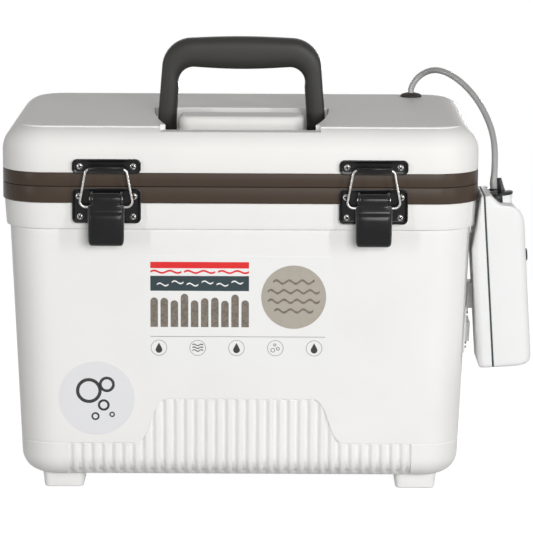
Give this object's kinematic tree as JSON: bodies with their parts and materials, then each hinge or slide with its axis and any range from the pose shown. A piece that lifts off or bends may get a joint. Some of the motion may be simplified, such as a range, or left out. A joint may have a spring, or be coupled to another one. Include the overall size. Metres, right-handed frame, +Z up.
{
  "type": "aerated bait cooler",
  "caption": "Insulated bait box with hinged lid, two draw latches, fold-down handle, and a clip-on battery air pump with hose and air stone.",
  "frame": {"origin": "on the floor under the centre of the tub's plan, at the level of the feet", "axes": "+X to the pump's side (right seen from the front), +Y to the back (hinges), +Z up; the latches face -Y"},
  "size_m": [0.4103, 0.276, 0.3481],
  "materials": {
    "white_shell": "smooth moulded plastic with a soft gloss",
    "foam": "closed-cell insulation foam",
    "brown_band": "smooth brown-grey moulded edge",
    "handle_grey": "satin moulded plastic with polished edges",
    "bright_steel": "plated steel",
    "black_metal": "gloss black enamel",
    "black_plastic": "black moulded plastic",
    "rubber": "soft rubber",
    "hose": "milky flexible hose",
    "stone": "porous bonded grit",
    "circuit_board": "coated fibre board",
    "cell": "wrapped battery cell",
    "label": "printed vinyl film"
  },
  "bodies": {
    "tub": {"tub_shell": "white_shell", "tub_foam": "foam", "tub_liner": "white_shell", "tub_band": "brown_band", "feet": "white_shell", "hinge_leaves_tub": "bright_steel", "hinge_pins": "bright_steel", "hinge_screws_tub": "bright_steel", "latch_plate_left": "black_metal", "latch_plate_right": "black_metal", "latch_screws": "bright_steel", "lever_pin_left": "bright_steel", "lever_pin_right": "bright_steel", "pump_bracket": "black_plastic", "bracket_screws": "bright_steel", "pump_clip": "black_plastic", "pump_inner_case": "white_shell", "pump_outer_case": "white_shell", "pump_gasket": "rubber", "pump_nozzle": "black_plastic", "button_spring": "bright_steel", "pump_motor": "bright_steel", "pump_head": "black_plastic", "pump_tube": "hose", "pump_board": "circuit_board", "battery_cells": "cell", "battery_contacts": "bright_steel", "case_screws": "bright_steel", "square_sticker": "label", "round_sticker": "label", "corner_sticker": "label"},
    "lid": {"lid_shell": "white_shell", "lid_foam": "foam", "lid_liner": "white_shell", "lid_band": "brown_band", "lid_seal": "rubber", "hinge_leaves_lid": "bright_steel", "hinge_screws_lid": "bright_steel", "keeper_left": "black_metal", "keeper_right": "black_metal", "keeper_screws": "bright_steel", "handle_pins": "bright_steel", "hose_grommet": "brown_band", "air_hose": "hose", "drop_hose": "hose", "air_stone": "stone"},
    "handle": {"handle": "handle_grey"},
    "lever_left": {"lever_left": "black_metal"},
    "lever_right": {"lever_right": "black_metal"},
    "bail_left": {"bail_left": "bright_steel"},
    "bail_right": {"bail_right": "bright_steel"},
    "knob": {"pump_knob": "black_plastic"},
    "button": {"pump_button": "black_plastic"}
  },
  "joints": [
    {"name": "lid_hinge", "type": "hinge", "parent": "tub", "child": "lid", "pos_m": [0, 0.13135, 0.2434], "axis": [-1, 0, 0], "range_deg": [0, 100]},
    {"name": "handle_fold", "type": "hinge", "parent": "lid", "child": "handle", "pos_m": [0, -0.0135, 0.2809], "axis": [1, 0, 0], "range_deg": [0, 90]},
    {"name": "lever_left_lift", "type": "hinge", "parent": "tub", "child": "lever_left", "pos_m": [-0.102, -0.13485, 0.23515], "axis": [-1, 0, 0], "range_deg": [0, 105]},
    {"name": "lever_right_lift", "type": "hinge", "parent": "tub", "child": "lever_right", "pos_m": [0.102, -0.13485, 0.23515], "axis": [-1, 0, 0], "range_deg": [0, 105]},
    {"name": "bail_left_swing", "type": "hinge", "parent": "lever_left", "child": "bail_left", "pos_m": [-0.102, -0.13385, 0.22865], "axis": [-1, 0, 0], "range_deg": [-82, 0]},
    {"name": "bail_right_swing", "type": "hinge", "parent": "lever_right", "child": "bail_right", "pos_m": [0.102, -0.13385, 0.22865], "axis": [-1, 0, 0], "range_deg": [-82, 0]},
    {"name": "knob_turn", "type": "hinge", "parent": "tub", "child": "knob", "pos_m": [0.20266, -0.087, 0.23293], "axis": [-0.0663, 0, 0.9978], "range_deg": [0, 90]},
    {"name": "button_press", "type": "slide", "parent": "tub", "child": "button", "axis": [-0.9978, 0, -0.0663], "range_m": [0, 0.0015], "stiffness_N_per_m": 300}
  ],
  "couplings": [
    {"joint": "bail_left_swing", "follows": "lever_left_lift", "ratio": -0.774},
    {"joint": "bail_right_swing", "follows": "lever_right_lift", "ratio": -0.774}
  ]
}
